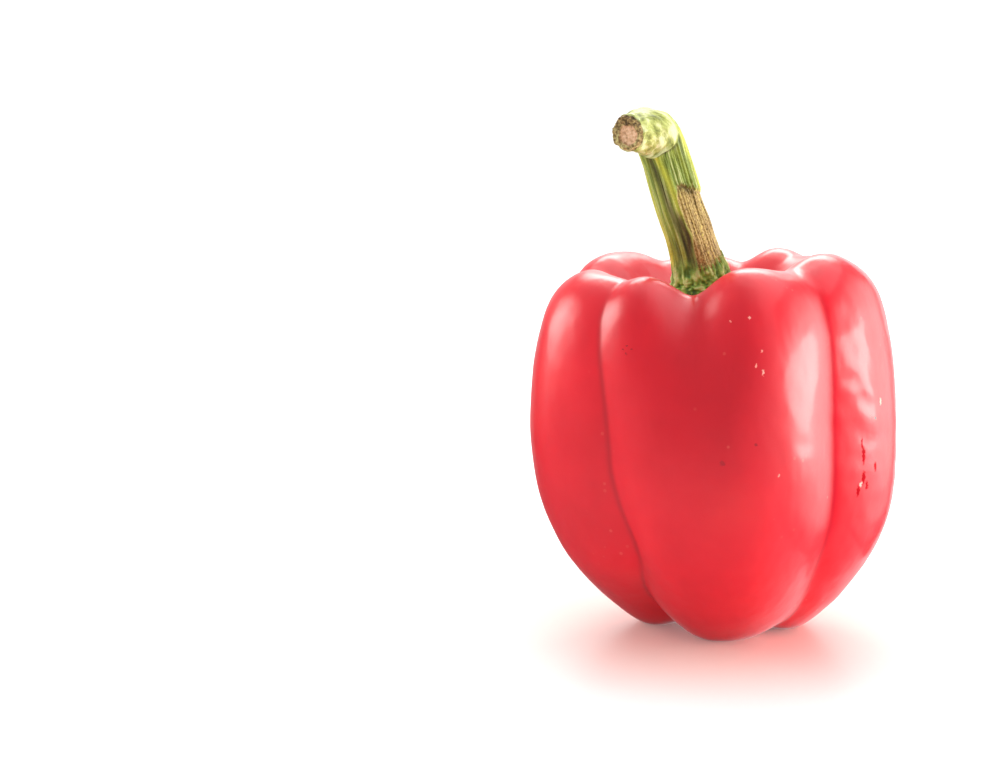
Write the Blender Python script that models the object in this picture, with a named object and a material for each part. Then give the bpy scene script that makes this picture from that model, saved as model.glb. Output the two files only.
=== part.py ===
"""A blocky red sweet bell pepper: the lobed fruit, the green calyx in its stem well, and the cut stem.

The fruit is one closed surface. A smooth profile runs from the middle of the stem well over the
crest, down the side and under to the blossom end. Going round, creases and folds draw that surface
in towards a point inside the fruit, its heart, and leave the lobes standing between them.
The calyx is laid on the stem well, a fitting gap above it, and the stem stands on the calyx's boss.

Metres, +Z up. Azimuth 0 is the front, -Y, and azimuth 90 is the right, +X. Along the profile, run
goes from 0 at the middle of the stem well to 1 at the blossom end.
"""
import bmesh
import bpy
import numpy as np

# The fruit's profile
CREST_HEIGHT = 0.0862
CREST_RADIUS = 0.0268
WELL_DEPTH = 0.0115
WIDEST_RADIUS = 0.0430
WIDEST_HEIGHT = 0.0470
FOOT_RADIUS = 0.0175
BLOSSOM_DENT = 0.0040
FOOT_FLAT = 0.0006        # how much each foot flattens where the fruit rests
HEART_HEIGHT = 0.0440

# The fruit's axis leans: how far each end lies to the right of the middle
TOP_SHIFT = -0.0030
BLOSSOM_SHIFT = 0.0028

# Roundness of the shoulder and the belly: share of the way out, and share of the way up or down
SHOULDER = ((0.36, 0.975), (0.66, 0.85), (0.86, 0.62), (0.965, 0.32))
BELLY = ((0.965, 0.26), (0.81, 0.53), (0.54, 0.76), (0.26, 0.925))

# Stations along the run: the crest, the middle of the side, the belly and the feet
CREST_RUN = 0.25
SIDE_RUN = 0.52
BELLY_RUN = 0.68
FOOT_RUN = 0.84

# Creases between the four lobes: azimuths and depths at the four stations, and how soft the bottom
# of the crease is, from 0 for a sharp one
CREASES = (
    ((-43, -36, -32, -50), (0.0034, 0.0046, 0.0054, 0.0062), 0.06),
    ((45, 46, 46, 53), (0.0036, 0.0058, 0.0050, 0.0030), 0.15),
    ((128, 126, 125, 124), (0.0044, 0.0050, 0.0050, 0.0050), 0.10),
    ((-103, -110, -116, -122), (0.0036, 0.0046, 0.0050, 0.0054), 0.10),
)
LOBE_FULLNESS = 0.8

# Shallow folds in the lobes: azimuth, half width in degrees, and depths at the four stations
FOLDS = (
    (-7, 14, (0.0082, 0.0010, 0.0, 0.0)),
    (160, 13, (0.0042, 0.0010, 0.0008, 0.0008)),
    (-156, 12, (0.0034, 0.0012, 0.0008, 0.0006)),
    (92, 13, (0.0008, 0.0010, 0.0006, 0.0)),
    (-80, 13, (0.0006, 0.0010, 0.0006, 0.0)),
)

# Differences between the lobes: azimuth, and metres added to the height of the crest there
CREST_RISE = (
    (-64, -0.0008), (-92, -0.0024), (-118, 0.0012), (-142, 0.0002), (-24, 0.0010), (31, 0.0024),
    (60, 0.0040), (100, 0.0008), (138, 0.0034), (183, -0.0014),
)
# and to the reach outwards at the four stations
REACH = (
    (-84, (-0.0004, 0.0008, 0.0, -0.0020)), (3, (0, -0.0002, -0.0010, -0.0030)),
    (85, (0.0004, 0, 0.0001, -0.0006)), (180, (0, -0.0012, -0.0008, 0)),
)

# The calyx, a green cap with pointed lobes
CALYX_RADIUS = 0.0168
CALYX_NOTCH = 0.0026      # how far the cap draws in between its points
CALYX_POINTS = 7
CALYX_TURN = -9           # azimuth of one point, to the fold at the front
CALYX_THICKNESS = 0.0012
BOSS_RADIUS = 0.0078
BOSS_SKIRT = 0.0036       # width of the slope round the boss
BOSS_HEIGHT = 0.0014

# The stem: its middle line and its radius along it, as shares of its length and its radius
STEM_LENGTH = 0.0420
STEM_RADIUS = 0.0054
STEM_LINE = (
    ((0.0, 0.0, 0.0), 1.36), ((-0.004, 0.0, 0.10), 1.17), ((-0.052, 0.0, 0.29), 1.0),
    ((-0.122, 0.0, 0.49), 0.96), ((-0.184, -0.004, 0.69), 0.94), ((-0.221, -0.022, 0.805), 0.94),
    ((-0.260, -0.070, 0.885), 0.96), ((-0.332, -0.158, 0.918), 0.93),
    ((-0.402, -0.268, 0.912), 0.87),
)

CLEARANCE = 0.0003        # between touching pieces

# Fineness of the meshes
FRUIT_SEGMENTS = 68
FRUIT_RINGS = 46
CALYX_RINGS = 16
STEM_RINGS = 30


def ease(value, start, end):
    """0 before start, 1 after end, and a smooth S between them."""
    share = np.clip((value - start) / (end - start), 0, 1)
    return share * share * (3 - 2 * share)


def smooth_curve(points, share, first, last):
    """Cubic spline with steady curvature through the points, leaving along first and ending along
    last. Its knots follow the distance between points to the power 0.6."""
    points = np.asarray(points, float)
    steps = np.diff(points, axis=0)
    knots = np.concatenate([[0], np.cumsum(np.linalg.norm(steps, axis=1) ** 0.6)])
    knots /= knots[-1]
    spans = np.diff(knots)
    rates = steps / spans[:, None]
    matrix = np.eye(len(points))
    target = np.zeros_like(points)
    for i in range(1, len(points) - 1):
        matrix[i, i - 1:i + 2] = spans[i], 2 * (spans[i - 1] + spans[i]), spans[i - 1]
        target[i] = 3 * (spans[i] * rates[i - 1] + spans[i - 1] * rates[i])
    target[0] = np.linalg.norm(rates[0]) * np.asarray(first)
    target[-1] = np.linalg.norm(rates[-1]) * np.asarray(last)
    slopes = np.linalg.solve(matrix, target)
    index = np.clip(np.searchsorted(knots, share, side="right") - 1, 0, len(spans) - 1)
    span = spans[index][..., None]
    u = (share[..., None] - knots[index][..., None]) / span
    start, end = points[index], points[index + 1]
    rise = u * u * (3 - 2 * u)
    leaving = u * (1 - u) ** 2 * span * slopes[index]
    arriving = u * u * (1 - u) * span * slopes[index + 1]
    return start + rise * (end - start) + leaving - arriving


def along(run, values, first, last):
    """A value that eases from first at the top through those at the four stations to last."""
    places = (0.03, CREST_RUN, SIDE_RUN, BELLY_RUN, FOOT_RUN, 0.985)
    levels = (first, *values, last)
    result = np.full_like(run, first)
    for i in range(5):
        result += (levels[i + 1] - levels[i]) * ease(run, places[i], places[i + 1])
    return result


def round_about(azimuth, keys):
    """A value that eases from key to key right round, keys being (azimuth, value)."""
    keys = sorted((angle % 360, value) for angle, value in keys)
    keys = [(keys[-1][0] - 360, keys[-1][1])] + keys + [(keys[0][0] + 360, keys[0][1])]
    degrees = np.degrees(azimuth) % 360
    result = np.full_like(degrees, keys[0][1])
    for (angle, value), (next_angle, next_value) in zip(keys, keys[1:]):
        result += (next_value - value) * ease(degrees, angle, next_angle)
    return result


def profile(run):
    """The fruit's outline before its creases, as radius and height for each run."""
    floor = CREST_HEIGHT - WELL_DEPTH
    out = WIDEST_RADIUS - CREST_RADIUS
    up = CREST_HEIGHT - WIDEST_HEIGHT
    tuck = WIDEST_RADIUS - FOOT_RADIUS
    points = [(0, floor), (0.4 * CREST_RADIUS, floor + 0.07 * WELL_DEPTH)]
    points += [(0.7 * CREST_RADIUS, floor + 0.5 * WELL_DEPTH), (CREST_RADIUS, CREST_HEIGHT)]
    points += [(CREST_RADIUS + a * out, WIDEST_HEIGHT + b * up) for a, b in SHOULDER]
    points += [(WIDEST_RADIUS, WIDEST_HEIGHT)]
    points += [(FOOT_RADIUS + a * tuck, WIDEST_HEIGHT * (1 - b)) for a, b in BELLY]
    points += [(FOOT_RADIUS, 0), (0.45 * FOOT_RADIUS, 0.5 * BLOSSOM_DENT), (0, BLOSSOM_DENT)]
    curve = smooth_curve(points, run, (1, 0), (-1, 0))
    return curve[..., 0], curve[..., 1]


def crease_depth(azimuth, run):
    """How far creases and folds draw the surface in. Between two creases the lobe stands in an
    arch, the sine of its share of the way across to a power, so each crease is the narrow line
    where two arches meet. A fold is a bell curve across the lobe."""
    creases = [(along(run, a, a[0], a[-1]), along(run, d, 0, 0), s) for a, d, s in CREASES]
    creases.sort(key=lambda crease: crease[0].flat[0] % 360)
    first = creases[0][0]
    degrees = (np.degrees(azimuth) - first) % 360
    result = np.zeros_like(degrees)
    for crease, following in zip(creases, creases[1:] + creases[:1]):
        start = (crease[0] - first) % 360
        width = (following[0] - crease[0]) % 360
        across = (degrees - start) / width
        blend = ease(across, 0.15, 0.85)
        soft = crease[2] + (following[2] - crease[2]) * blend
        bottom = soft ** LOBE_FULLNESS
        height = np.sin(np.pi * np.clip(across, 0, 1)) ** 2 + soft * soft
        arch = height ** (LOBE_FULLNESS / 2) - bottom
        arch /= (1 + soft * soft) ** (LOBE_FULLNESS / 2) - bottom
        depth = crease[1] + (following[1] - crease[1]) * blend
        result = np.where((across >= 0) & (across < 1), (1 - arch) * depth, result)
    for angle, width, depths in FOLDS:
        offset = (np.degrees(azimuth) - angle + 180) % 360 - 180
        result += np.exp(-(offset / width) ** 2) * along(run, depths, 0, 0)
    return result


def fruit_surface(azimuth, run):
    """Points of the fruit: the profile turned about the axis, with each lobe's own rise and reach,
    drawn in towards the heart by the creases and flattened at the feet."""
    azimuth, run = np.broadcast_arrays(np.asarray(azimuth, float), np.asarray(run, float))
    radius, height = profile(run)
    crest = ease(height, 0.6 * CREST_HEIGHT, CREST_HEIGHT)
    crest *= ease(radius, 0.2 * CREST_RADIUS, 0.9 * CREST_RADIUS)
    height = height + round_about(azimuth, CREST_RISE) * crest
    reach = [round_about(azimuth, [(a, r[i]) for a, r in REACH]) for i in range(4)]
    radius = radius + along(run, reach, 0, 0)
    to_heart = np.hypot(radius, height - HEART_HEIGHT)
    kept = 1 - crease_depth(azimuth, run) / to_heart
    radius = radius * kept
    height = HEART_HEIGHT + (height - HEART_HEIGHT) * kept
    x = radius * np.sin(azimuth) + TOP_SHIFT + (BLOSSOM_SHIFT - TOP_SHIFT) * run
    y = -radius * np.cos(azimuth)
    return np.stack([x, y, np.maximum(height - FOOT_FLAT, 0)], -1)


def run_at(radius):
    """The run at which the stem well has the given radius."""
    run = np.linspace(0, CREST_RUN, 400)
    return np.interp(radius, profile(run)[0], run)


def calyx_surface(azimuth, polar):
    """Points of the calyx: a thin cushion that follows the stem well, its outline drawn in between
    its points, with a flat boss in the middle for the stem. Polar is 0 at the middle of the top,
    a quarter turn at the rim and a half turn at the middle of the underside."""
    turn = np.radians(CALYX_TURN)
    between = np.abs(np.sin(CALYX_POINTS * (azimuth - turn) / 2))
    radius = (CALYX_RADIUS - CALYX_NOTCH * between) * np.sin(polar)
    run = run_at(radius)
    nudge = 0.0005
    near = np.maximum(run, 0.01)
    ahead = fruit_surface(azimuth, near + nudge) - fruit_surface(azimuth, near - nudge)
    aside = fruit_surface(azimuth + nudge, near) - fruit_surface(azimuth - nudge, near)
    normal = np.cross(aside, ahead)
    normal /= np.linalg.norm(normal, axis=-1)[..., None]
    normal *= np.sign(normal[..., 2])[..., None]
    lift = CLEARANCE + CALYX_THICKNESS * (1 + np.cos(polar)) / 2
    points = fruit_surface(azimuth, run) + normal * lift[..., None]
    boss = ease(-radius, -BOSS_RADIUS - BOSS_SKIRT, -BOSS_RADIUS) * (polar < np.pi / 2)
    points[..., 2] += (boss_top() - points[..., 2]) * boss
    return points


def boss_top():
    """Height of the flat top of the calyx's boss."""
    return CREST_HEIGHT - WELL_DEPTH - FOOT_FLAT + CLEARANCE + CALYX_THICKNESS + BOSS_HEIGHT


def stem_line():
    """The stem's middle line and its radius at each ring, rising straight off the boss."""
    base = np.array([TOP_SHIFT, 0, boss_top() + CLEARANCE])
    points = np.array([(*place, width) for place, width in STEM_LINE])
    share = np.linspace(0, 1, STEM_RINGS)
    ending = (points[-1] - points[-2]) / np.linalg.norm(points[-1] - points[-2])
    line = smooth_curve(points, share, (0, 0, 1, -1), ending)
    return base + line[:, :3] * STEM_LENGTH, line[:, 3] * STEM_RADIUS


def collection(name):
    """A new collection in the scene."""
    made = bpy.data.collections.new(name)
    bpy.context.scene.collection.children.link(made)
    return made


def material(name, colour, roughness):
    """A plain material with its colour, roughness and no metal."""
    made = bpy.data.materials.new(name)
    made.use_nodes = True
    shader = made.node_tree.nodes["Principled BSDF"]
    shader.inputs["Base Color"].default_value = (*colour, 1)
    shader.inputs["Roughness"].default_value = roughness
    shader.inputs["Metallic"].default_value = 0
    return made


def from_sphere(name, segments, rings, surface):
    """An object whose mesh is a sphere primitive carried onto a surface of azimuth and polar."""
    mesh = bpy.data.meshes.new(name)
    work = bmesh.new()
    bmesh.ops.create_uvsphere(work, u_segments=segments, v_segments=rings, radius=1)
    work.to_mesh(mesh)
    work.free()
    places = np.empty(len(mesh.vertices) * 3, np.float32)
    mesh.vertices.foreach_get("co", places)
    x, y, z = places.reshape(-1, 3).astype(float).T
    pole = np.hypot(x, y) < 1e-6
    azimuth = np.where(pole, 0, np.arctan2(x, -y))
    polar = np.where(pole, np.pi * (z < 0), np.arctan2(np.hypot(x, y), z))
    mesh.vertices.foreach_set("co", surface(azimuth, polar).astype(np.float32).ravel())
    mesh.shade_smooth()
    return bpy.data.objects.new(name, mesh)


def make_fruit():
    """The red fruit, its profile's run going evenly from pole to pole of the sphere."""
    made = from_sphere("fruit", FRUIT_SEGMENTS, FRUIT_RINGS,
                       lambda azimuth, polar: fruit_surface(azimuth, polar / np.pi))
    made.data.materials.append(material("red_skin", (0.62, 0.03, 0.04), 0.25))
    return made


def make_calyx():
    """The green cap, on the same azimuths as the fruit so that their facets lie side by side."""
    made = from_sphere("calyx", FRUIT_SEGMENTS, CALYX_RINGS, calyx_surface)
    made.data.materials.append(material("calyx_green", (0.06, 0.16, 0.02), 0.55))
    return made


def make_stem():
    """The stem, a round tube with its ends filled, wider at its foot."""
    curve = bpy.data.curves.new("stem", "CURVE")
    curve.dimensions = "3D"
    curve.bevel_depth = 1
    curve.bevel_resolution = 6
    curve.use_fill_caps = True
    spline = curve.splines.new("POLY")
    places, widths = stem_line()
    spline.points.add(len(places) - 1)
    spline.points.foreach_set("co", np.c_[places, np.ones(len(places))].ravel())
    spline.points.foreach_set("radius", widths)
    curve.materials.append(material("stem_green", (0.30, 0.30, 0.05), 0.6))
    return bpy.data.objects.new("stem", curve)


def build():
    """Clears the scene, makes the three pieces and stands the fruit on the origin."""
    for old in list(bpy.data.objects):
        bpy.data.objects.remove(old, do_unlink=True)
    pepper = collection("bell_pepper")
    pieces = [make_fruit(), make_calyx(), make_stem()]
    for piece in pieces:
        pepper.objects.link(piece)
    corners = np.array([vertex.co for vertex in pieces[0].data.vertices])
    middle = (corners.min(0) + corners.max(0)) / 2
    for piece in pieces:
        piece.location = (-middle[0], -middle[1], 0)


build()
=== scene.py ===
"""The look of a fully ripened red blocky bell pepper that stands on its feet in a pale studio.

Three pieces take the place of the plain CAD solids: the waxy skin, the blistered calyx in the stem
well, and the ribbed stalk with its corky patch and knuckle. Two more are added, the dried cut end
of the stalk and a small button of brown cork at the blossom end below. Metres, +Z up. Azimuth 0 is
the front, -Y, and 90 is the right, +X. Along the fruit's profile, run goes from 0 in the stem well
to 1 at the blossom end.
"""
import math

import bpy
import numpy as np
from mathutils import Euler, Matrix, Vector


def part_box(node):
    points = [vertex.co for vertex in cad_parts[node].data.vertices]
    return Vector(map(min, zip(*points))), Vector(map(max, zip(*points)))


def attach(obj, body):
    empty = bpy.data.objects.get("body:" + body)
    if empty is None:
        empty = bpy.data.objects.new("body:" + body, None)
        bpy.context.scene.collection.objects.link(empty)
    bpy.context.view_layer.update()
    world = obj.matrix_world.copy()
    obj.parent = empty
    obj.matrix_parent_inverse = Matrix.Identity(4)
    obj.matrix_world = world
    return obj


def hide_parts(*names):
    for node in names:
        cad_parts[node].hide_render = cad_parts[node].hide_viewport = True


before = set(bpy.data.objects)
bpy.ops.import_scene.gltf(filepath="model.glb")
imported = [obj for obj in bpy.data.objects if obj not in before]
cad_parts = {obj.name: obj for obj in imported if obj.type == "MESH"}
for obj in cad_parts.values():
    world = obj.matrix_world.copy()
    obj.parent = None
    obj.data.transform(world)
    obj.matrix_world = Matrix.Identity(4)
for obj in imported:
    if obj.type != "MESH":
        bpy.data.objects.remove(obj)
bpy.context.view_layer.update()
fruit_low, fruit_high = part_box("fruit")
stem_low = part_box("stem")[0]

# The fruit's profile and lobes, as the CAD model has them
CREST_HEIGHT = 0.0862
CREST_RADIUS = 0.0268
WELL_DEPTH = 0.0115
WIDEST_RADIUS = 0.0430
WIDEST_HEIGHT = 0.0470
FOOT_RADIUS = 0.0175
BLOSSOM_DENT = 0.0040
FOOT_FLAT = 0.0006
HEART_HEIGHT = 0.0440
TOP_SHIFT = -0.0030
BLOSSOM_SHIFT = 0.0028
SHOULDER = ((0.36, 0.975), (0.66, 0.85), (0.86, 0.62), (0.965, 0.32))
BELLY = ((0.965, 0.26), (0.81, 0.53), (0.54, 0.76), (0.26, 0.925))
CREST_RUN = 0.25
SIDE_RUN = 0.52
BELLY_RUN = 0.68
FOOT_RUN = 0.84
CREASES = (
    ((-43, -36, -32, -50), (0.0034, 0.0046, 0.0054, 0.0062), 0.06),
    ((45, 46, 46, 53), (0.0036, 0.0058, 0.0050, 0.0030), 0.15),
    ((128, 126, 125, 124), (0.0044, 0.0050, 0.0050, 0.0050), 0.10),
    ((-103, -110, -116, -122), (0.0036, 0.0046, 0.0050, 0.0054), 0.10),
)
LOBE_FULLNESS = 0.8
FOLDS = (
    (-7, 14, (0.0082, 0.0010, 0.0, 0.0)),
    (160, 13, (0.0042, 0.0010, 0.0008, 0.0008)),
    (-156, 12, (0.0034, 0.0012, 0.0008, 0.0006)),
    (92, 13, (0.0008, 0.0010, 0.0006, 0.0)),
    (-80, 13, (0.0006, 0.0010, 0.0006, 0.0)),
)
CREST_RISE = (
    (-64, -0.0008), (-92, -0.0024), (-118, 0.0012), (-142, 0.0002), (-24, 0.0010), (31, 0.0024),
    (60, 0.0040), (100, 0.0008), (138, 0.0034), (183, -0.0014),
)
REACH = (
    (-84, (-0.0004, 0.0008, 0.0, -0.0020)), (3, (0, -0.0002, -0.0010, -0.0030)),
    (85, (0.0004, 0, 0.0001, -0.0006)), (180, (0, -0.0012, -0.0008, 0)),
)

# The calyx
CALYX_RADIUS = 0.0168
CALYX_NOTCH = 0.0026
CALYX_POINTS = 7
CALYX_TURN = -9
CALYX_THICKNESS = 0.0012
CLEARANCE = 0.0003

SCAR_RADIUS = 0.0026      # the cork button underneath

# The stem's middle line and radius, as shares of its length and its radius
STEM_LENGTH = 0.0420
STEM_RADIUS = 0.0054
STEM_LINE = (
    ((0.0, 0.0, 0.0), 1.36), ((-0.004, 0.0, 0.10), 1.17), ((-0.052, 0.0, 0.29), 1.0),
    ((-0.122, 0.0, 0.49), 0.96), ((-0.184, -0.004, 0.69), 0.94), ((-0.221, -0.022, 0.805), 0.94),
    ((-0.260, -0.070, 0.885), 0.96), ((-0.332, -0.158, 0.918), 0.93),
    ((-0.402, -0.268, 0.912), 0.87),
)


# Shape tools

def ease(value, start, end):
    """0 before start, 1 after end, and a smooth S between them."""
    share = np.clip((value - start) / (end - start), 0, 1)
    return share * share * (3 - 2 * share)


def bell(value, middle, width):
    """1 at the middle, falling off on both sides like a bell whose half width is width."""
    return np.exp(-((value - middle) / width) ** 2)


def apart(degrees, angle):
    """How far round degrees lies from angle, from -180 to 180."""
    return (degrees - angle + 180) % 360 - 180


def ripple(points, length, seed, waves=28):
    """Even waviness without direction or seam: the sum of plane waves that run through the points
    in scattered directions, each about length from crest to crest, scaled to stay near -1 to 1."""
    scatter = np.random.default_rng(seed)
    ways = scatter.normal(size=(waves, 3))
    ways *= 2 * np.pi / length / np.linalg.norm(ways, axis=1)[:, None]
    ways *= scatter.uniform(0.7, 1.3, (waves, 1))
    starts = scatter.uniform(0, 2 * np.pi, waves)
    total = np.zeros(points.shape[:-1])
    for way, start in zip(ways, starts):
        total += np.cos(points @ way + start)
    return total / math.sqrt(waves)


def smooth_curve(points, share, first, last):
    """Cubic spline with steady curvature through the points, leaving along first and ending along
    last. Its knots follow the distance between points to the power 0.6."""
    points = np.asarray(points, float)
    steps = np.diff(points, axis=0)
    knots = np.concatenate([[0], np.cumsum(np.linalg.norm(steps, axis=1) ** 0.6)])
    knots /= knots[-1]
    spans = np.diff(knots)
    rates = steps / spans[:, None]
    matrix = np.eye(len(points))
    target = np.zeros_like(points)
    for i in range(1, len(points) - 1):
        matrix[i, i - 1:i + 2] = spans[i], 2 * (spans[i - 1] + spans[i]), spans[i - 1]
        target[i] = 3 * (spans[i] * rates[i - 1] + spans[i - 1] * rates[i])
    target[0] = np.linalg.norm(rates[0]) * np.asarray(first)
    target[-1] = np.linalg.norm(rates[-1]) * np.asarray(last)
    slopes = np.linalg.solve(matrix, target)
    index = np.clip(np.searchsorted(knots, share, side="right") - 1, 0, len(spans) - 1)
    span = spans[index][..., None]
    u = (share[..., None] - knots[index][..., None]) / span
    start, end = points[index], points[index + 1]
    rise = u * u * (3 - 2 * u)
    leaving = u * (1 - u) ** 2 * span * slopes[index]
    arriving = u * u * (1 - u) * span * slopes[index + 1]
    return start + rise * (end - start) + leaving - arriving


def along(run, values, first, last):
    """A value that eases from first at the top through those at the four stations to last."""
    places = (0.03, CREST_RUN, SIDE_RUN, BELLY_RUN, FOOT_RUN, 0.985)
    levels = (first, *values, last)
    result = np.full_like(run, first)
    for i in range(5):
        result += (levels[i + 1] - levels[i]) * ease(run, places[i], places[i + 1])
    return result


def round_about(azimuth, keys):
    """A value that eases from key to key right round, keys being (azimuth, value)."""
    keys = sorted((angle % 360, value) for angle, value in keys)
    keys = [(keys[-1][0] - 360, keys[-1][1])] + keys + [(keys[0][0] + 360, keys[0][1])]
    degrees = np.degrees(azimuth) % 360
    result = np.full_like(degrees, keys[0][1])
    for (angle, value), (next_angle, next_value) in zip(keys, keys[1:]):
        result += (next_value - value) * ease(degrees, angle, next_angle)
    return result


def grid_normals(points):
    """Unit outward normals of a closed grid: the cross product of its steps round and down it."""
    down = np.gradient(points, axis=0)
    around = np.roll(points, -1, axis=1) - np.roll(points, 1, axis=1)
    normals = np.cross(down, around)
    return normals / np.maximum(np.linalg.norm(normals, axis=-1), 1e-12)[..., None]


def closed_shell(name, points, finish, marks=()):
    """A piece from a grid of points: each row a ring, top ring first, columns joined round, and
    the first and last rows each a single point. marks are (name, values on the same grid), kept
    as attributes for the material."""
    rings, columns = points.shape[:2]
    inner = slice(1, rings - 1)

    def listed(grid):
        flat = grid[inner].reshape(-1, *grid.shape[2:])
        return np.concatenate([grid[:1, 0], flat, grid[-1:, 0]])

    index = 1 + np.arange((rings - 2) * columns).reshape(rings - 2, columns)
    beside = np.roll(index, -1, axis=1)
    quads = np.stack([index[:-1], index[1:], beside[1:], beside[:-1]], -1).reshape(-1, 4)
    last = 1 + index.size
    top = np.stack([np.zeros(columns, int), index[0], beside[0]], -1)
    bottom = np.stack([np.full(columns, last), beside[-1], index[-1]], -1)
    mesh = bpy.data.meshes.new(name)
    mesh.from_pydata(listed(points).tolist(), [], quads.tolist() + top.tolist() + bottom.tolist())
    for mark, values in marks:
        vector = values.ndim == 3
        kept = mesh.attributes.new(mark, "FLOAT_VECTOR" if vector else "FLOAT", "POINT")
        kept.data.foreach_set("vector" if vector else "value", listed(values).ravel())
    mesh.shade_smooth()
    mesh.materials.append(finish)
    piece = bpy.data.objects.new(name, mesh)
    bpy.context.scene.collection.objects.link(piece)
    return piece


# The fruit's surface

def profile(run):
    """The fruit's outline before its creases, as radius and height for each run."""
    floor = CREST_HEIGHT - WELL_DEPTH
    out = WIDEST_RADIUS - CREST_RADIUS
    up = CREST_HEIGHT - WIDEST_HEIGHT
    tuck = WIDEST_RADIUS - FOOT_RADIUS
    points = [(0, floor), (0.4 * CREST_RADIUS, floor + 0.07 * WELL_DEPTH)]
    points += [(0.7 * CREST_RADIUS, floor + 0.5 * WELL_DEPTH), (CREST_RADIUS, CREST_HEIGHT)]
    points += [(CREST_RADIUS + a * out, WIDEST_HEIGHT + b * up) for a, b in SHOULDER]
    points += [(WIDEST_RADIUS, WIDEST_HEIGHT)]
    points += [(FOOT_RADIUS + a * tuck, WIDEST_HEIGHT * (1 - b)) for a, b in BELLY]
    points += [(FOOT_RADIUS, 0), (0.45 * FOOT_RADIUS, 0.5 * BLOSSOM_DENT), (0, BLOSSOM_DENT)]
    curve = smooth_curve(points, run, (1, 0), (-1, 0))
    return curve[..., 0], curve[..., 1]


def crease_depth(azimuth, run):
    """How far creases and folds draw the surface in. Between two creases the lobe stands in an
    arch, the sine of its share of the way across to a power, so each crease is the narrow line
    where two arches meet. A fold is a bell curve across the lobe."""
    creases = [(along(run, a, a[0], a[-1]), along(run, d, 0, 0), s) for a, d, s in CREASES]
    creases.sort(key=lambda crease: crease[0].flat[0] % 360)
    first = creases[0][0]
    degrees = (np.degrees(azimuth) - first) % 360
    result = np.zeros_like(degrees)
    for crease, following in zip(creases, creases[1:] + creases[:1]):
        start = (crease[0] - first) % 360
        width = (following[0] - crease[0]) % 360
        across = (degrees - start) / width
        blend = ease(across, 0.15, 0.85)
        soft = crease[2] + (following[2] - crease[2]) * blend
        bottom = soft ** LOBE_FULLNESS
        height = np.sin(np.pi * np.clip(across, 0, 1)) ** 2 + soft * soft
        arch = height ** (LOBE_FULLNESS / 2) - bottom
        arch /= (1 + soft * soft) ** (LOBE_FULLNESS / 2) - bottom
        depth = crease[1] + (following[1] - crease[1]) * blend
        result = np.where((across >= 0) & (across < 1), (1 - arch) * depth, result)
    for angle, width, depths in FOLDS:
        offset = apart(np.degrees(azimuth), angle)
        result += np.exp(-(offset / width) ** 2) * along(run, depths, 0, 0)
    return result


def fruit_surface(azimuth, run):
    """Points of the fruit: the profile turned about the axis, with each lobe's own rise and reach,
    drawn in towards the heart by the creases and flattened at the feet."""
    azimuth, run = np.broadcast_arrays(np.asarray(azimuth, float), np.asarray(run, float))
    radius, height = profile(run)
    crest = ease(height, 0.6 * CREST_HEIGHT, CREST_HEIGHT)
    crest *= ease(radius, 0.2 * CREST_RADIUS, 0.9 * CREST_RADIUS)
    height = height + round_about(azimuth, CREST_RISE) * crest
    reach = [round_about(azimuth, [(a, r[i]) for a, r in REACH]) for i in range(4)]
    radius = radius + along(run, reach, 0, 0)
    to_heart = np.hypot(radius, height - HEART_HEIGHT)
    kept = 1 - crease_depth(azimuth, run) / to_heart
    radius = radius * kept
    height = HEART_HEIGHT + (height - HEART_HEIGHT) * kept
    x = radius * np.sin(azimuth) + TOP_SHIFT + (BLOSSOM_SHIFT - TOP_SHIFT) * run
    y = -radius * np.cos(azimuth)
    return np.stack([x, y, np.maximum(height - FOOT_FLAT, 0)], -1)


def run_at(radius):
    """The run at which the stem well has the given radius."""
    run = np.linspace(0, CREST_RUN, 400)
    return np.interp(radius, profile(run)[0], run)


def grid(rings, columns):
    """Azimuths and shares from 0 to 1 down the rings, as two grids."""
    azimuth = np.linspace(0, 2 * np.pi, columns, endpoint=False)
    share = np.linspace(0, 1, rings)
    return np.meshgrid(azimuth, share)


# The frame's place: the middle of the CAD fruit, from which every piece is laid out
azimuths, runs = grid(221, 448)
plain_fruit = fruit_surface(azimuths, runs)
flat_fruit = plain_fruit.reshape(-1, 3)
middle = (flat_fruit.min(0) + flat_fruit.max(0)) / 2
cad_middle = (np.array(fruit_low) + np.array(fruit_high)) / 2
PLACE = np.array([cad_middle[0] - middle[0], cad_middle[1] - middle[1], 0])


# Small marks on the skin: azimuth, height above the table in mm, width and length in mm, and colour
SKIN_MARKS = (
    (7, 77, 0.6, 0.6, "#ff9f90"), (13, 78, 0.6, 0.8, "#ffb4a4"), (16, 71, 0.6, 0.6, "#ff9f90"),
    (14, 68, 0.5, 1.2, "#ffa898"), (16, 66.5, 0.5, 1.6, "#ffb4a4"), (20, 44, 0.7, 0.6, "#ff9f90"),
    (66, 56.5, 0.7, 2.0, "#ffa898"), (57, 38.4, 0.6, 1.4, "#ffb0a2"), (63, 53, 1.1, 0.9, "#2c0806"),
    (61, 53.8, 0.6, 0.6, "#3a0c08"), (13, 51, 0.9, 0.9, "#a81424"), (3, 47, 1.3, 1.3, "#b81a28"),
    (-28, 71, 0.7, 0.5, "#8e1018"), (-26.4, 70.3, 0.6, 0.5, "#8e1018"),
    (-29.6, 70.1, 0.6, 0.5, "#8e1018"), (-28.4, 69.4, 0.6, 0.5, "#8e1018"),
)
# Dull red puckers on the right-hand lobe: azimuth, height, width and length as above
PUCKERS = ((58, 45, 1.1, 5.0), (57.4, 47.5, 0.6, 4.0), (63, 42, 0.9, 2.6), (58, 40, 1.3, 3.6),
           (59.5, 38, 1.0, 2.4), (56, 37, 1.0, 3.2))


# Materials

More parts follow.
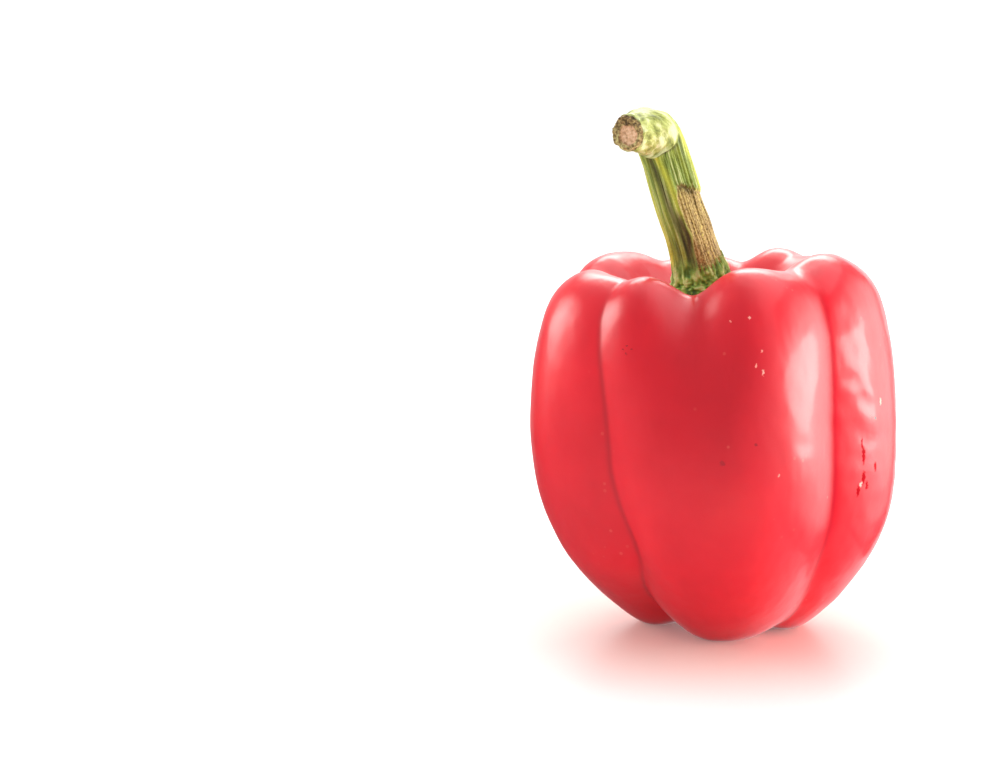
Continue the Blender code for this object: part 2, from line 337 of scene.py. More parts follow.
def hex_colour(code):
    """An sRGB hex colour as linear red, green, blue and alpha."""
    parts = [int(code[i:i + 2], 16) / 255 for i in (1, 3, 5)]
    return (*(p / 12.92 if p <= 0.04045 else ((p + 0.055) / 1.055) ** 2.4 for p in parts), 1)


def new_finish(name):
    """A new material with its node tree, shader and links."""
    made = bpy.data.materials.new(name)
    made.use_nodes = True
    return made, made.node_tree, made.node_tree.nodes["Principled BSDF"]


def node(tree, kind, links=None, **settings):
    """Adds a node: settings are its properties, or its inputs where the name is an input's, and
    links gives for some inputs the output that feeds them."""
    made = tree.nodes.new(kind)
    for key, value in settings.items():
        name = key.replace("_", " ")
        if hasattr(made, key):
            setattr(made, key, value)
        else:
            made.inputs[name if name in made.inputs else int(key[1:])].default_value = value
    for key, source in (links or {}).items():
        tree.links.new(source, made.inputs[key])
    return made


def mark(tree, name):
    """The output of one of the piece's marks."""
    return node(tree, "ShaderNodeAttribute", attribute_name=name).outputs["Fac"]


def ramp(tree, source, stops, interpolation="LINEAR"):
    """A colour ramp fed by source, its stops being (place, sRGB hex or grey)."""
    made = tree.nodes.new("ShaderNodeValToRGB")
    made.color_ramp.interpolation = interpolation
    while len(made.color_ramp.elements) < len(stops):
        made.color_ramp.elements.new(0.5)
    for element, (place, colour) in zip(made.color_ramp.elements, stops):
        element.position = place
        element.color = hex_colour(colour) if isinstance(colour, str) else (colour,) * 3 + (1,)
    tree.links.new(source, made.inputs["Fac"])
    return made.outputs["Color"]


def mixed(tree, factor, first, second, blend="MIX"):
    """Two colours mixed by factor. Each is an output or an sRGB hex."""
    made = tree.nodes.new("ShaderNodeMix")
    made.data_type = "RGBA"
    made.blend_type = blend
    made.clamp_factor = True
    for name, value in (("Factor", factor), ("A", first), ("B", second)):
        socket = next(s for s in made.inputs if s.name == name and s.enabled)
        if isinstance(value, str):
            socket.default_value = hex_colour(value)
        elif isinstance(value, float):
            socket.default_value = value
        else:
            tree.links.new(value, socket)
    return next(s for s in made.outputs if s.enabled)


def spot(tree, place, azimuth, height, wide, long):
    """How much a point of the skin lies in an upright oval spot at an azimuth and a height, wide by
    long mm and solid in its inner half."""
    runs = np.linspace(CREST_RUN, FOOT_RUN, 500)
    heights = fruit_surface(math.radians(azimuth), runs)[:, 2] * 1000
    centre = fruit_surface(math.radians(azimuth), np.interp(-height, -heights, runs)) + PLACE
    laid = node(tree, "ShaderNodeMapping", {0: place}, vector_type="TEXTURE", Location=tuple(centre),
                Rotation=(0, 0, math.radians(azimuth)), Scale=(wide / 2000, 0.003, long / 2000))
    far = node(tree, "ShaderNodeVectorMath", {0: laid.outputs[0]}, operation="LENGTH")
    return node(tree, "ShaderNodeMapRange", {"Value": far.outputs["Value"]},
                interpolation_type="SMOOTHSTEP", From_Min=0.5, From_Max=1.1, To_Min=1.0,
                To_Max=0.0).outputs[0]


def waxy_skin():
    """Ripened red pepper skin: a saturated red flesh under a thin clear wax, so a soft gloss over a
    colour that varies a little in clouds about 24 mm across. Painted shade deepens the red on the
    middle of the front lobe, low on the left-hand lobe and along the creases. Pale pores stand
    about 4 mm apart in patches, and there are a few flecks, brown specks and dull red puckers. The
    puckers have lost their gloss, and the crease to the right of the front lobe loses its gloss
    as part of its painted shade."""
    made, tree, shader = new_finish("ripe_pepper_skin_waxed")
    place = node(tree, "ShaderNodeTexCoord").outputs["Object"]
    clouds = node(tree, "ShaderNodeTexNoise", {"Vector": place}, Scale=42.0, Detail=3.0)
    red = ramp(tree, clouds.outputs["Fac"], [(0.3, "#da1729"), (0.55, "#e81a2d"), (0.75, "#f02732")])
    # This mark is painted shade: it deepens the red on the middle of the front lobe and low on the
    # left-hand lobe
    red = mixed(tree, mark(tree, "painted_shade"), red, "#b81424")
    pores = node(tree, "ShaderNodeTexVoronoi", {"Vector": place}, Scale=260.0)
    dots = ramp(tree, pores.outputs["Distance"], [(0.0, 1.0), (0.07, 1.0), (0.13, 0.0)])
    here = node(tree, "ShaderNodeTexNoise", {"Vector": place}, Scale=60.0, Detail=1.0)
    few = ramp(tree, here.outputs["Fac"], [(0.6, 0.0), (0.72, 1.0)])
    both = node(tree, "ShaderNodeMath", {0: dots, 1: few}, operation="MULTIPLY")
    soft = node(tree, "ShaderNodeMath", {0: both.outputs[0]}, operation="MULTIPLY", _1=0.35)
    colour = mixed(tree, soft.outputs[0], red, "#ff8f7a")
    # This mark is painted shade in the crease to the right of the front lobe: it darkens the red
    # here, and further down it also takes away the gloss
    crease_shade = mark(tree, "crease_shade")
    deep = node(tree, "ShaderNodeMath", {0: crease_shade}, operation="MULTIPLY", _1=0.6)
    colour = mixed(tree, deep.outputs[0], colour, "#bc1a28")
    # Painted shade along the bottom of each crease
    colour = mixed(tree, mark(tree, "line"), colour, "#a30f20")
    # The spots' edges stray up to half a millimetre, so that they aren't clean ovals
    fine = node(tree, "ShaderNodeTexNoise", {"Vector": place}, Scale=1800.0, Detail=1.0)
    stray = node(tree, "ShaderNodeVectorMath", {0: fine.outputs["Color"]}, operation="MULTIPLY_ADD",
                 _1=(0.0010,) * 3, _2=(-0.0005,) * 3)
    ragged = node(tree, "ShaderNodeVectorMath", {0: place, 1: stray.outputs[0]}, operation="ADD")
    ragged = ragged.outputs[0]
    for azimuth, height, wide, long, tint in SKIN_MARKS:
        colour = mixed(tree, spot(tree, ragged, azimuth, height, wide, long), colour, tint)
    # Where the gloss is taken away: on the puckers, which are matt, and in the crease to the right of
    # the front lobe, as part of its painted shade
    dull = crease_shade
    for azimuth, height, wide, long in PUCKERS:
        pucker = spot(tree, ragged, azimuth, height, wide, long)
        colour = mixed(tree, pucker, colour, "#b40a1a")
        dull = node(tree, "ShaderNodeMath", {0: dull, 1: pucker}, operation="MAXIMUM").outputs[0]
    tree.links.new(colour, shader.inputs["Base Color"])
    shader.inputs["Roughness"].default_value = 0.40
    shader.inputs["IOR"].default_value = 1.45
    shader.inputs["Subsurface Weight"].default_value = 0.3
    shader.inputs["Subsurface Radius"].default_value = (1.0, 0.25, 0.15)
    shader.inputs["Subsurface Scale"].default_value = 0.004
    gloss = node(tree, "ShaderNodeMapRange", {"Value": dull}, To_Min=0.5, To_Max=0.03)
    tree.links.new(gloss.outputs[0], shader.inputs["Specular IOR Level"])
    wax = node(tree, "ShaderNodeMapRange", {"Value": dull}, To_Min=0.35, To_Max=0.0)
    tree.links.new(wax.outputs[0], shader.inputs["Coat Weight"])
    shader.inputs["Coat Roughness"].default_value = 0.16
    # The skin's fine grain, a millimetre from crest to crest
    grain = node(tree, "ShaderNodeTexNoise", {"Vector": place}, Scale=900.0, Detail=2.0)
    bump = node(tree, "ShaderNodeBump", {"Height": grain.outputs["Fac"]}, Strength=0.12,
                Distance=0.0002)
    tree.links.new(bump.outputs["Normal"], shader.inputs["Normal"])
    return made


def calyx_leaf():
    """Calyx leaf: a tough blistered leaf, dark green and satin in the hollows, paler on its veins
    and along its thin edge, and mottled in spots about 2 mm across."""
    made, tree, shader = new_finish("calyx_leaf_blistered")
    place = node(tree, "ShaderNodeTexCoord").outputs["Object"]
    green = ramp(tree, mark(tree, "blister"),
                 [(0.2, "#1c3c10"), (0.5, "#35631c"), (0.78, "#5c8a2c"), (1.0, "#93b44e")])
    mottle = node(tree, "ShaderNodeTexNoise", {"Vector": place}, Scale=500.0, Detail=4.0)
    darker = ramp(tree, mottle.outputs["Fac"], [(0.35, 0.6), (0.65, 1.0)])
    colour = mixed(tree, 0.6, green, darker, "MULTIPLY")
    colour = mixed(tree, mark(tree, "rim"), colour, "#b9c98a")
    tree.links.new(colour, shader.inputs["Base Color"])
    shader.inputs["Roughness"].default_value = 0.45
    shader.inputs["Subsurface Weight"].default_value = 0.08
    shader.inputs["Subsurface Radius"].default_value = (0.4, 0.8, 0.2)
    shader.inputs["Subsurface Scale"].default_value = 0.001
    bump = node(tree, "ShaderNodeBump", {"Height": mottle.outputs["Fac"]}, Strength=0.5,
                Distance=0.0003)
    tree.links.new(bump.outputs["Normal"], shader.inputs["Normal"])
    return made


def stalk_rind():
    """Stalk rind: fibrous green bark, yellow on its ribs and dark olive in one furrow, with a tan
    corky scar, all drawn out lengthwise in strands a third of a millimetre wide. The dark olive is
    painted shade in that furrow, under the torn lip and under the knuckle's collar, and real brown
    streaks beside the scar. Its foot is warty and a fresher green, and the knuckle in the bend is
    pale and blotched, over 2 mm or so."""
    made, tree, shader = new_finish("stalk_rind_fibrous")
    straight = node(tree, "ShaderNodeAttribute", attribute_name="straight").outputs["Vector"]
    drawn = node(tree, "ShaderNodeVectorMath", {0: straight}, operation="MULTIPLY", _1=(1, 1, 0.05))
    strands = node(tree, "ShaderNodeTexNoise", {"Vector": drawn.outputs[0]}, Scale=1500.0, Detail=3.0)
    strands = strands.outputs["Fac"]
    blotch = node(tree, "ShaderNodeTexNoise", {"Vector": straight}, Scale=420.0, Detail=3.0)
    blotch = blotch.outputs["Fac"]
    base = ramp(tree, strands,
                [(0.34, "#4c5f18"), (0.46, "#748c2e"), (0.57, "#9bb048"), (0.69, "#d4dd94")])
    bright = ramp(tree, strands, [(0.3, "#b2bb24"), (0.6, "#dae04a")])
    colour = mixed(tree, mark(tree, "rib"), base, bright)
    warty = ramp(tree, mark(tree, "wart"),
                 [(0.15, "#57882a"), (0.42, "#80b040"), (0.66, "#9fca52"), (0.9, "#cfe68c")])
    colour = mixed(tree, mark(tree, "foot"), colour, warty)
    lumpy = ramp(tree, blotch, [(0.32, "#8b9440"), (0.46, "#c3cb6a"), (0.62, "#e9edb2")])
    colour = mixed(tree, mark(tree, "knuckle"), colour, lumpy)
    crumbs = node(tree, "ShaderNodeTexNoise", {"Vector": straight}, Scale=2600.0, Detail=3.0)
    crumbs = crumbs.outputs["Fac"]
    crumbly = node(tree, "ShaderNodeMix", {"A": strands, "B": crumbs}, Factor=0.5).outputs[0]
    tan = ramp(tree, crumbly, [(0.34, "#5c4819"), (0.43, "#937a3a"), (0.5, "#b69c56"),
                               (0.57, "#cab36c"), (0.66, "#e4da68")])
    colour = mixed(tree, mark(tree, "cork"), colour, tan)
    # Dark olive for the shade mark: painted shade in a furrow, under the torn lip and under the
    # knuckle's collar, and real brown streaks beside the scar
    dark = ramp(tree, strands, [(0.35, "#33301a"), (0.6, "#6b6433")])
    colour = mixed(tree, mark(tree, "shade"), colour, dark)
    uneven = node(tree, "ShaderNodeMix", {"A": blotch, "B": crumbs}, Factor=0.55).outputs[0]
    tone = ramp(tree, uneven, [(0.38, 0.52), (0.52, 0.96), (0.62, 1.0)])
    colour = mixed(tree, 0.45, colour, tone, "MULTIPLY")
    tree.links.new(colour, shader.inputs["Base Color"])
    shader.inputs["Roughness"].default_value = 0.5
    relief = node(tree, "ShaderNodeMath", {0: strands, 1: uneven}, operation="ADD").outputs[0]
    bump = node(tree, "ShaderNodeBump", {"Height": relief}, Strength=0.9, Distance=0.0005)
    tree.links.new(bump.outputs["Normal"], shader.inputs["Normal"])
    return made


def dried_cut():
    """Dried cut: a pale pith that has shrunk and turned tan, in a rough tan rim that is a dark brown
    callus on one side, all in crumbs about two thirds of a millimetre across."""
    made, tree, shader = new_finish("dried_cut_pith_and_callus")
    place = node(tree, "ShaderNodeTexCoord").outputs["Object"]
    crumbs = node(tree, "ShaderNodeTexNoise", {"Vector": place}, Scale=1500.0, Detail=4.0)
    crumbs = crumbs.outputs["Fac"]
    rim = ramp(tree, crumbs, [(0.36, "#6e5a34"), (0.48, "#a8925c"), (0.62, "#cbbd80")])
    brown = ramp(tree, crumbs, [(0.35, "#3a2a18"), (0.5, "#74572f"), (0.66, "#b5935a")])
    pale = ramp(tree, crumbs, [(0.35, "#b98f6a"), (0.47, "#dcae88"), (0.65, "#ecc7a4")])
    colour = mixed(tree, mark(tree, "callus"), rim, brown)
    colour = mixed(tree, mark(tree, "pith"), colour, pale)
    tree.links.new(colour, shader.inputs["Base Color"])
    shader.inputs["Roughness"].default_value = 0.85
    bump = node(tree, "ShaderNodeBump", {"Height": crumbs}, Strength=0.8, Distance=0.0004)
    tree.links.new(bump.outputs["Normal"], shader.inputs["Normal"])
    return made


def scar_cork():
    """Scar cork: the dry, matt, brown cork that closes the blossom end, in crumbs about half a
    millimetre across."""
    made, tree, shader = new_finish("blossom_scar_cork")
    place = node(tree, "ShaderNodeTexCoord").outputs["Object"]
    crumbs = node(tree, "ShaderNodeTexNoise", {"Vector": place}, Scale=1800.0, Detail=3.0)
    crumbs = crumbs.outputs["Fac"]
    brown = ramp(tree, crumbs, [(0.35, "#4a3018"), (0.5, "#86683c"), (0.65, "#b79a68")])
    tree.links.new(brown, shader.inputs["Base Color"])
    shader.inputs["Roughness"].default_value = 0.85
    bump = node(tree, "ShaderNodeBump", {"Height": crumbs}, Strength=0.6, Distance=0.0003)
    tree.links.new(bump.outputs["Normal"], shader.inputs["Normal"])
    return made


# Pieces

def make_skin():
    """The skin: the fruit's surface moved along its normals by three ripples, 14, 5.5 and 2.4 mm
    long and about 0.1, 0.05 and 0.01 mm high. The middle one is strongest on the right-hand lobe,
    and all fade to nothing at the poles and where the feet lie flat. The marks are bell curves of
    painted shade: line at the bottom of each crease, another on the crease to the right of the front
    lobe, and a third on the middle of the front lobe and low on the left-hand one."""
    normals = grid_normals(plain_fruit)
    free = ease(runs, 0.02, 0.10) * ease(1 - runs, 0.02, 0.08)
    free *= ease(plain_fruit[..., 2], 0.0002, 0.004)
    wave = 0.00010 * ripple(plain_fruit, 0.014, 3)
    bumpy = 0.3 + 0.7 * bell(apart(np.degrees(azimuths), 62), 0, 24)
    wave += bumpy * 0.00005 * ripple(plain_fruit, 0.0055, 4)
    wave += 0.000012 * ripple(plain_fruit * np.array([1, 1, 0.5]), 0.0024, 5)
    points = plain_fruit + normals * (wave * free)[..., None] + PLACE
    degrees = np.degrees(azimuths)
    angles = CREASES[1][0]
    # Painted shade in the crease to the right of the front lobe, darkening its red and taking away
    # its gloss
    crease_shade = bell(apart(degrees, along(runs, angles, angles[0], angles[-1]) + 0.8), 0, 3.4)
    crease_shade *= ease(runs, 0.24, 0.32) * ease(1 - runs, 0.2, 0.4)
    # Painted shade along the bottom of each crease
    bottoms = [along(runs, crease[0], crease[0][0], crease[0][-1]) for crease in CREASES]
    line = sum(bell(apart(degrees, bottom), 0, 1.1) for bottom in bottoms)
    line = 0.5 * line * ease(runs, 0.24, 0.34) * ease(1 - runs, 0.04, 0.12)
    height = plain_fruit[..., 2]
    # Painted shade on the middle of the front lobe and low on the left-hand lobe
    painted_shade = 0.45 * bell(apart(degrees, 6), 0, 24) * bell(height, 0.060, 0.024)
    painted_shade += 0.5 * bell(apart(degrees, -66), 0, 22) * bell(height, 0.024, 0.024)
    marks = [("crease_shade", crease_shade), ("line", line), ("painted_shade", painted_shade)]
    piece = closed_shell("pepper_skin", points, waxy_skin(), marks)
    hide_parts("fruit")
    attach(piece, "root")


def make_calyx():
    """The calyx: a thin leaf cap laid on the stem well with its points turned a little up. It
    swells into blisters between its veins, and climbs round the foot of the stem."""
    azimuth, share = grid(121, 280)
    polar = share * np.pi
    degrees = np.degrees(azimuth)
    between = np.abs(np.sin(CALYX_POINTS * np.radians(degrees - CALYX_TURN) / 2))
    across = np.sin(polar)
    radius = (CALYX_RADIUS - CALYX_NOTCH * between) * across
    run = run_at(radius)
    ground = fruit_surface(azimuth, run)
    lean = np.stack([-np.sin(azimuth), np.cos(azimuth), 0 * azimuth], -1) * across[..., None] * 0.45
    normal = lean + np.array([0, 0, 1])
    normal /= np.linalg.norm(normal, axis=-1)[..., None]
    top = polar < np.pi / 2
    curl = 0.0012 * ease(across, 0.7, 1.0) * (1 - 0.6 * between)
    side = (1 + np.sign(np.cos(polar)) * np.sqrt(np.abs(np.cos(polar)))) / 2
    thin = 1 - 0.45 * ease(across, 0.75, 1)
    lift = CLEARANCE + CALYX_THICKNESS * thin * side + curl
    vein = np.abs(np.cos(CALYX_POINTS * np.radians(degrees - CALYX_TURN) / 2)) ** 6
    broad = 1 - np.abs(ripple(ground, 0.0062, 11))
    fine = 1 - np.abs(ripple(ground, 0.0030, 12))
    blister = np.clip(0.25 + 0.40 * broad + 0.22 * fine + 0.25 * vein, 0, 1)
    swell = 0.0017 * blister * ease(across, 0.40, 0.55) * ease(1 - across, 0.0, 0.10)
    neck = 0.0050 * ease(-radius, -0.0105, -0.0068)
    lift = lift + (swell + neck) * top
    points = ground + normal * lift[..., None] + PLACE
    marks = [("blister", blister), ("rim", ease(across, 0.975, 1.0) * top)]
    piece = closed_shell("calyx_cap", points, calyx_leaf(), marks)
    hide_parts("calyx")
    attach(piece, "root")


def stem_frame(share):
    """The stem's middle line at each share of its length, its radius there, and at each place the
    direction of the line, the way to the front and the way to the right."""
    points = np.array([(*place, width) for place, width in STEM_LINE])
    ending = (points[-1] - points[-2]) / np.linalg.norm(points[-1] - points[-2])
    line = smooth_curve(points, share, (0, 0, 1, -1), ending)
    base = np.array([TOP_SHIFT, 0, stem_low[2]]) + PLACE
    centre = base + line[:, :3] * STEM_LENGTH
    ahead = np.gradient(centre, axis=0)
    ahead /= np.linalg.norm(ahead, axis=1)[:, None]
    front = np.array([0, -1, 0]) - ahead * (-ahead[:, 1:2])
    front /= np.linalg.norm(front, axis=1)[:, None]
    return centre, line[:, 3] * STEM_RADIUS, ahead, front, np.cross(ahead, front)


# The stalk's ribs: azimuth halfway up, half width in degrees, height as a share of the radius, and
# how bright and yellow its back is
RIBS = (
    (-88, 19, 0.10, 1.0), (-42, 8, 0.05, 0.25), (-4, 11, 0.10, 0.85), (52, 15, 0.06, 0.3),
    (92, 14, 0.08, 1.0), (140, 20, 0.10, 0.7), (-140, 18, 0.10, 0.8),
)
RIB_TWIST = -75           # degrees that the ribs turn from the foot to the tip
SCAR_TOP = 0.515          # the corky scar, as shares of the length and azimuths
SCAR_FOOT = 0.225
SCAR_SIDES = (0, 104)
COLLAR = 0.755            # where the knuckle begins
TIP_TAPER = 0.14          # how much thinner the stalk ends beyond the knuckle


def make_stalk():
    """The stalk: a ring carried along the stem's middle line. Its radius swells at the ribs and at
    many fine strands, sinks at the corky scar below a torn lip, and bulges in lumps at the knuckle
    in the bend. The foot spreads in warty ridges."""
    rings, columns = 340, 280
    azimuth, share = grid(rings, columns)
    share = 1 - share
    laid = stem_frame(np.linspace(0, 1, rings))
    centre, radius, _, front, right = (part[::-1] for part in laid)
    degrees = np.degrees(azimuth)
    turned = degrees - RIB_TWIST * (share - 0.5)
    straight = np.stack([np.sin(azimuth) * STEM_RADIUS, -np.cos(azimuth) * STEM_RADIUS,
                         share * STEM_LENGTH * 1.15], -1)
    drawn = straight * np.array([1, 1, 0.05])
    strand = ripple(drawn, 0.0008, 21)
    fibre = ripple(drawn, 0.00045, 25)
    lumps = ripple(straight, 0.0032, 23)
    warts = 0.8 * ripple(straight * np.array([1, 1, 0.42]), 0.0019, 24)
    warts += 0.5 * ripple(straight * np.array([1, 1, 0.6]), 0.0010, 27)

    knuckle = ease(share + 0.016 * np.cos(azimuth + 0.9) + 0.006 * strand, COLLAR, COLLAR + 0.02)
    foot = ease(-share - 0.016 * strand - 0.010 * warts, -0.285, -0.20)
    rib = sum(high * bell(apart(turned, angle), 0, width) for angle, width, high, _ in RIBS)
    yellow = sum(bright * bell(apart(turned, angle), 0, 0.8 * width)
                 for angle, width, _, bright in RIBS)

    # The scar's edges run ragged along the strands
    low_edge = SCAR_FOOT + 0.026 * strand + 0.012 * fibre
    top_edge = SCAR_TOP + 0.006 * strand - 0.0012 * apart(degrees, 45) * 0.5
    side = SCAR_SIDES[0] + 5 * ripple(drawn * np.array([0, 0, 1]), 0.00025, 26) + 12 * (share - 0.35)
    across = ease(degrees, side, side + 7) * ease(-degrees, -SCAR_SIDES[1] - 12, -SCAR_SIDES[1])
    scar = across * ease(share, low_edge - 0.012, low_edge)
    scar *= ease(-share, -top_edge - 0.004, -top_edge)
    lip = across * bell(share, top_edge + 0.010, 0.009) * bell(apart(degrees, 32), 0, 30)
    below_lip = across * bell(share, top_edge - 0.006, 0.014) * bell(apart(degrees, 30), 0, 26)
    stain = bell(apart(degrees, side - 7), 0, 9)
    stain *= ease(share, 0.22, 0.30) * ease(-share, -0.47, -0.40)

    factor = 1 + rib * (1 - 0.7 * knuckle) * (1 - 0.6 * scar) + 0.020 * strand * (1 - 0.7 * knuckle)
    factor += 0.010 * fibre * (1 - knuckle)
    front_side = bell(apart(degrees, -15), 0, 62)
    factor += knuckle * (0.02 + 0.045 * lumps)
    factor += 0.10 * front_side * bell(share, COLLAR + 0.012, 0.009)
    factor -= 0.04 * front_side * bell(share, COLLAR - 0.010, 0.012)
    factor += -0.06 * scar + 0.05 * lip - 0.06 * below_lip - 0.03 * stain
    factor += foot * (0.045 * warts + 0.05)
    factor += 0.05 * bell(share, 0.37, 0.05) * bell(apart(degrees, 92), 0, 25)
    ring = radius[:, None] * factor * (1 - TIP_TAPER * ease(share, 0.86, 0.98))
    spread = front[:, None] * np.cos(azimuth)[..., None] + right[:, None] * np.sin(azimuth)[..., None]
    points = centre[:, None] + ring[..., None] * spread
    points[0] = centre[0]
    points[-1] = centre[-1]
    # The shade mark: painted shade in the furrow at -28 degrees, under the torn lip and under the
    # knuckle's collar, and the real brown streaks beside the scar
    shade = np.clip(0.75 * bell(apart(turned, -28), 0, 9) * (1 - foot) * (1 - knuckle), 0, 1)
    shade = np.maximum(shade, np.maximum(0.9 * below_lip, stain * (1 - 0.5 * foot)))
    shade = np.maximum(shade, 0.8 * front_side * bell(share, COLLAR - 0.012, 0.010))
    marks = [("straight", straight), ("rib", np.clip(yellow, 0, 1)), ("cork", scar), ("foot", foot),
             ("knuckle", knuckle), ("shade", shade), ("wart", np.clip(0.5 + 0.5 * warts, 0, 1))]
    piece = closed_shell("stalk", points, stalk_rind(), marks)
    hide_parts("stem")
    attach(piece, "root")


def make_cut_end():
    """The cut end: a low dish on the end of the stalk, its rim a rough callus that stands out and
    its middle, the shrunken pith, set low and a little to the front."""
    rings, columns = 120, 220
    azimuth, share = grid(rings, columns)
    centre, radius, ahead, front, right = stem_frame(np.linspace(0, 1, 200))
    polar = share * np.pi
    across = np.sin(polar)
    face = polar < np.pi / 2
    flat = np.stack([np.sin(azimuth) * across, -np.cos(azimuth) * across, 0 * across], -1)
    flat *= radius[-1]
    rough = ripple(flat, 0.0022, 31)
    grain = ripple(flat, 0.0009, 32)
    from_pith = np.hypot(flat[..., 0] + 0.0005, flat[..., 1] + 0.0005) / radius[-1]
    pith = ease(-from_pith - 0.06 * rough, -0.62, -0.52)
    width = radius[-1] * (1 - TIP_TAPER) * (1.0 + 0.03 * rough + 0.015 * grain) * across
    height = 0.0011 - 0.0007 * pith + (0.00012 * grain + 0.00018 * rough) * (1 - 0.6 * pith)
    height = np.where(face, height * ease(1 - across, 0, 0.10), -0.0008 * ease(1 - across, 0, 0.3))
    spread = front[-1] * np.cos(azimuth)[..., None] + right[-1] * np.sin(azimuth)[..., None]
    points = centre[-1] + spread * width[..., None] + ahead[-1] * height[..., None]
    callus = (1 - pith) * np.clip(0.25 + 0.65 * np.sin(azimuth + 0.3), 0, 1)
    marks = [("pith", pith), ("callus", callus)]
    piece = closed_shell("stalk_cut_end", points, dried_cut(), marks)
    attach(piece, "root")


def make_blossom_scar():
    """The blossom scar: a low cork button in the dent underneath, a ragged disc that follows the
    skin, its hidden face a little inside the flesh."""
    azimuth, share = grid(61, 120)
    polar = share * np.pi
    across = np.sin(polar)
    under = np.linspace(1, 0.9, 200)
    ground = fruit_surface(azimuth, np.interp(SCAR_RADIUS * across, profile(under)[0], under))
    rough = ripple(ground, 0.0016, 41)
    ragged = 1 + 0.10 * rough * across
    centre = fruit_surface(0, 1)
    points = centre + (ground - centre) * ragged[..., None] + PLACE
    lower = polar > np.pi / 2
    swell = (0.0007 + 0.00012 * rough) * np.sqrt(np.abs(np.cos(polar)))
    points[..., 2] += np.where(lower, -swell, 0.0003)
    piece = closed_shell("blossom_scar", points, scar_cork())
    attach(piece, "root")


# Studio

def make_studio():
    """A white table in a soft white light, and four glowing cards for the reflections: a strong one
    and a wide weak one on the right, one above the back and one on the left. The camera sees plain
    white behind the table. Reflections see a room that is dim in front and on the left, and brighter
    towards the right, the back and the top. Matt surfaces are lit more from the back than from the
    front. The table is satin beside the feet and matt white farther off, and beside the feet a warm
    tint in its colour is the fruit's red reflection and shadow, painted on."""
    scene = bpy.context.scene
    scene.view_settings.view_transform = "Standard"
    world = bpy.data.worlds.new("studio_room")
    scene.world = world
    world.use_nodes = True
    tree = world.node_tree
    way = node(tree, "ShaderNodeTexCoord").outputs["Generated"]
    bright_side = node(tree, "ShaderNodeVectorMath", {0: way}, operation="DOT_PRODUCT",
                       _1=(0.75, 0.5, 0.43))
    side = node(tree, "ShaderNodeMapRange", {"Value": bright_side.outputs["Value"]},
                interpolation_type="SMOOTHSTEP", From_Min=-0.1, From_Max=0.9, To_Min=0.03, To_Max=2.0)
    height = node(tree, "ShaderNodeSeparateXYZ", {0: way}).outputs["Z"]
    above = node(tree, "ShaderNodeMapRange", {"Value": height}, interpolation_type="SMOOTHSTEP",
                 From_Min=0.3, From_Max=0.95, To_Min=0.0, To_Max=0.3)
    below = node(tree, "ShaderNodeMapRange", {"Value": height}, interpolation_type="SMOOTHSTEP",
                 From_Min=-0.7, From_Max=-0.1, To_Min=0.14, To_Max=0.0)
    room = node(tree, "ShaderNodeMath", {0: side.outputs[0], 1: above.outputs[0]}, operation="ADD")
    room = node(tree, "ShaderNodeMath", {0: room.outputs[0], 1: below.outputs[0]}, operation="ADD")
    rays = node(tree, "ShaderNodeLightPath")
    behind = node(tree, "ShaderNodeVectorMath", {0: way}, operation="DOT_PRODUCT", _1=(0.1, 0.9, 0.0))
    even = node(tree, "ShaderNodeMapRange", {"Value": behind.outputs["Value"]}, From_Min=-1.0,
                From_Max=1.0, To_Min=0.42, To_Max=1.8)
    level = node(tree, "ShaderNodeMix", {"Factor": rays.outputs["Is Glossy Ray"],
                                         "A": even.outputs[0], "B": room.outputs[0]})
    shown = node(tree, "ShaderNodeMix",
                 {"Factor": rays.outputs["Is Camera Ray"], "A": level.outputs[0]}, B=1.3)
    tree.links.new(shown.outputs[0], tree.nodes["Background"].inputs["Strength"])
    tree.nodes["Background"].inputs["Color"].default_value = (1, 1, 1, 1)

    table, tree, shader = new_finish("white_table_satin")
    place = node(tree, "ShaderNodeTexCoord").outputs["Object"]
    far = node(tree, "ShaderNodeVectorMath", {0: place}, operation="LENGTH").outputs["Value"]
    away = node(tree, "ShaderNodeMapRange", {"Value": far}, interpolation_type="SMOOTHSTEP",
                From_Min=0.015, From_Max=0.08).outputs[0]
    # Painted reflection and shadow: the fruit's red glow and shade painted into the table's colour
    # beside the feet, fading out between 1.5 and 8 cm from the middle
    colour = mixed(tree, away, "#efc9bd", "#fbfafa")
    tree.links.new(colour, shader.inputs["Base Color"])
    gloss = node(tree, "ShaderNodeMapRange", {"Value": away}, To_Min=0.5, To_Max=0.0)
    tree.links.new(gloss.outputs[0], shader.inputs["Specular IOR Level"])
    shader.inputs["Emission Color"].default_value = (1.0, 1.0, 1.0, 1)
    shader.inputs["Emission Strength"].default_value = 0.12
    shader.inputs["Roughness"].default_value = 0.32
    size = 20
    corners = [(-size, -size, 0), (size, -size, 0), (size, size, 0), (-size, size, 0)]
    mesh = bpy.data.meshes.new("floor")
    mesh.from_pydata(corners, [], [(0, 1, 2, 3)])
    mesh.materials.append(table)
    floor = bpy.data.objects.new("floor", mesh)
    floor.visible_glossy = False
    scene.collection.objects.link(floor)
    glow_card("right_card", 91, 1, (0.30, 0.10), 0.75, 16.0)
    glow_card("right_wash", 104, 4, (0.62, 0.55), 0.2, 3.4)
    glow_card("back_card", -178, 43, (0.36, 0.15), 0.3, 12.0)
    glow_card("left_card", -106, 17, (0.26, 0.24), 0.1, 8.5)


CARD_DISTANCE = 0.6


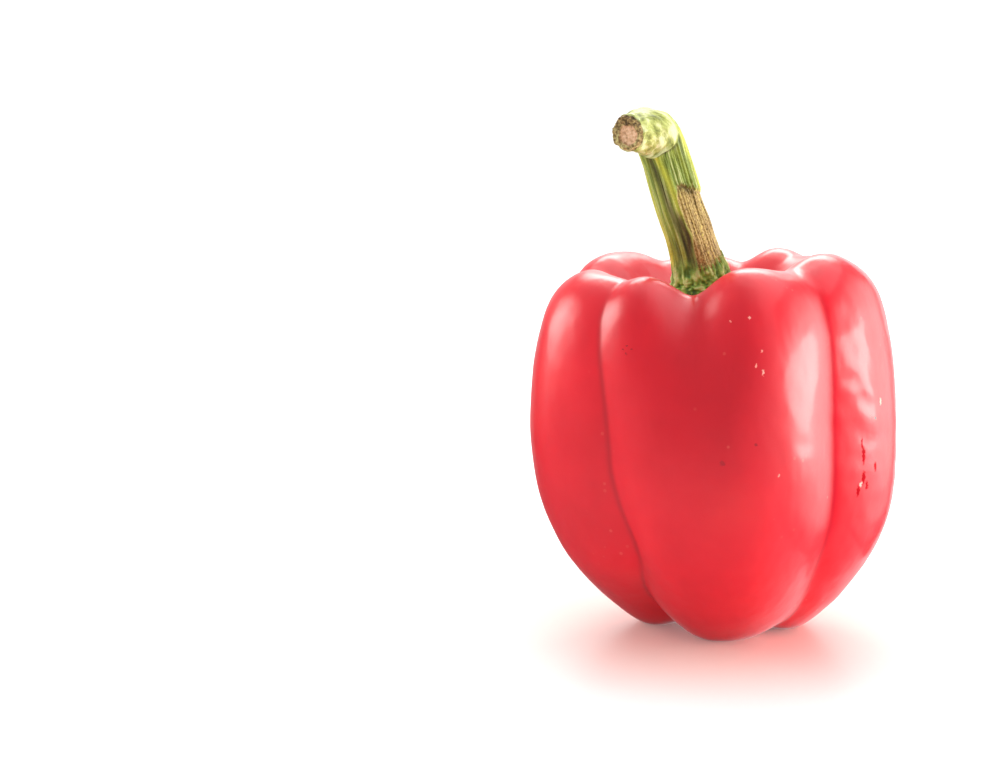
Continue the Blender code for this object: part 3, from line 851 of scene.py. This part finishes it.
def glow_card(name, azimuth, elevation, reach, core, level):
    """A glowing card that faces the fruit from a distance, casts no shadow and isn't seen by the
    camera. Its core is even, and from there it fades to nothing at its reach to each side."""
    glow = bpy.data.materials.new(name + "_glow")
    glow.use_nodes = True
    tree = glow.node_tree
    tree.nodes.clear()
    place = node(tree, "ShaderNodeTexCoord").outputs["Object"]
    scaled = node(tree, "ShaderNodeVectorMath", {0: place}, operation="DIVIDE", _1=(*reach, 1))
    far = node(tree, "ShaderNodeVectorMath", {0: scaled.outputs[0]}, operation="LENGTH")
    fade = node(tree, "ShaderNodeMapRange", {"Value": far.outputs["Value"]},
                interpolation_type="SMOOTHSTEP", From_Min=core, From_Max=1.0, To_Min=level,
                To_Max=0.0)
    shine = node(tree, "ShaderNodeEmission", {"Strength": fade.outputs[0]}, Color=(1, 0.97, 0.92, 1))
    node(tree, "ShaderNodeOutputMaterial", {"Surface": shine.outputs[0]})
    mesh = bpy.data.meshes.new(name)
    across, up = reach
    corners = [(-across, -up, 0), (across, -up, 0), (across, up, 0), (-across, up, 0)]
    mesh.from_pydata(corners, [], [(0, 1, 2, 3)])
    mesh.materials.append(glow)
    card = bpy.data.objects.new(name, mesh)
    turn, rise = math.radians(azimuth), math.radians(elevation)
    away = Vector((math.sin(turn) * math.cos(rise), -math.cos(turn) * math.cos(rise), math.sin(rise)))
    card.location = Vector((0, 0, WIDEST_HEIGHT)) + away * CARD_DISTANCE
    card.rotation_euler = (-away).to_track_quat("Z", "Y").to_euler()
    card.visible_camera = False
    card.visible_shadow = False
    bpy.context.scene.collection.objects.link(card)


CAMERA_DISTANCE = 0.55
CAMERA_RISE = 11.5        # degrees above the level
CAMERA_TARGET = 0.042
CAMERA_LENS = 84.5
CAMERA_TURN = 5.28        # degrees that the view is turned off the fruit, which stands to its right
CAMERA_TILT = -10.18


def make_camera():
    """The camera, a little above the fruit, with a long lens."""
    data = bpy.data.cameras.new("camera")
    data.lens = CAMERA_LENS
    data.sensor_width = 36
    camera = bpy.data.objects.new("camera", data)
    rise = math.radians(CAMERA_RISE)
    target = Vector((PLACE[0], PLACE[1], CAMERA_TARGET))
    camera.location = target + Vector((0, -math.cos(rise), math.sin(rise))) * CAMERA_DISTANCE
    tilt = math.radians(90 + CAMERA_TILT)
    camera.rotation_euler = Euler((tilt, 0, math.radians(CAMERA_TURN)), "XYZ")
    bpy.context.scene.collection.objects.link(camera)
    bpy.context.scene.camera = camera


make_skin()
make_calyx()
make_stalk()
make_cut_end()
make_blossom_scar()
make_studio()
make_camera()
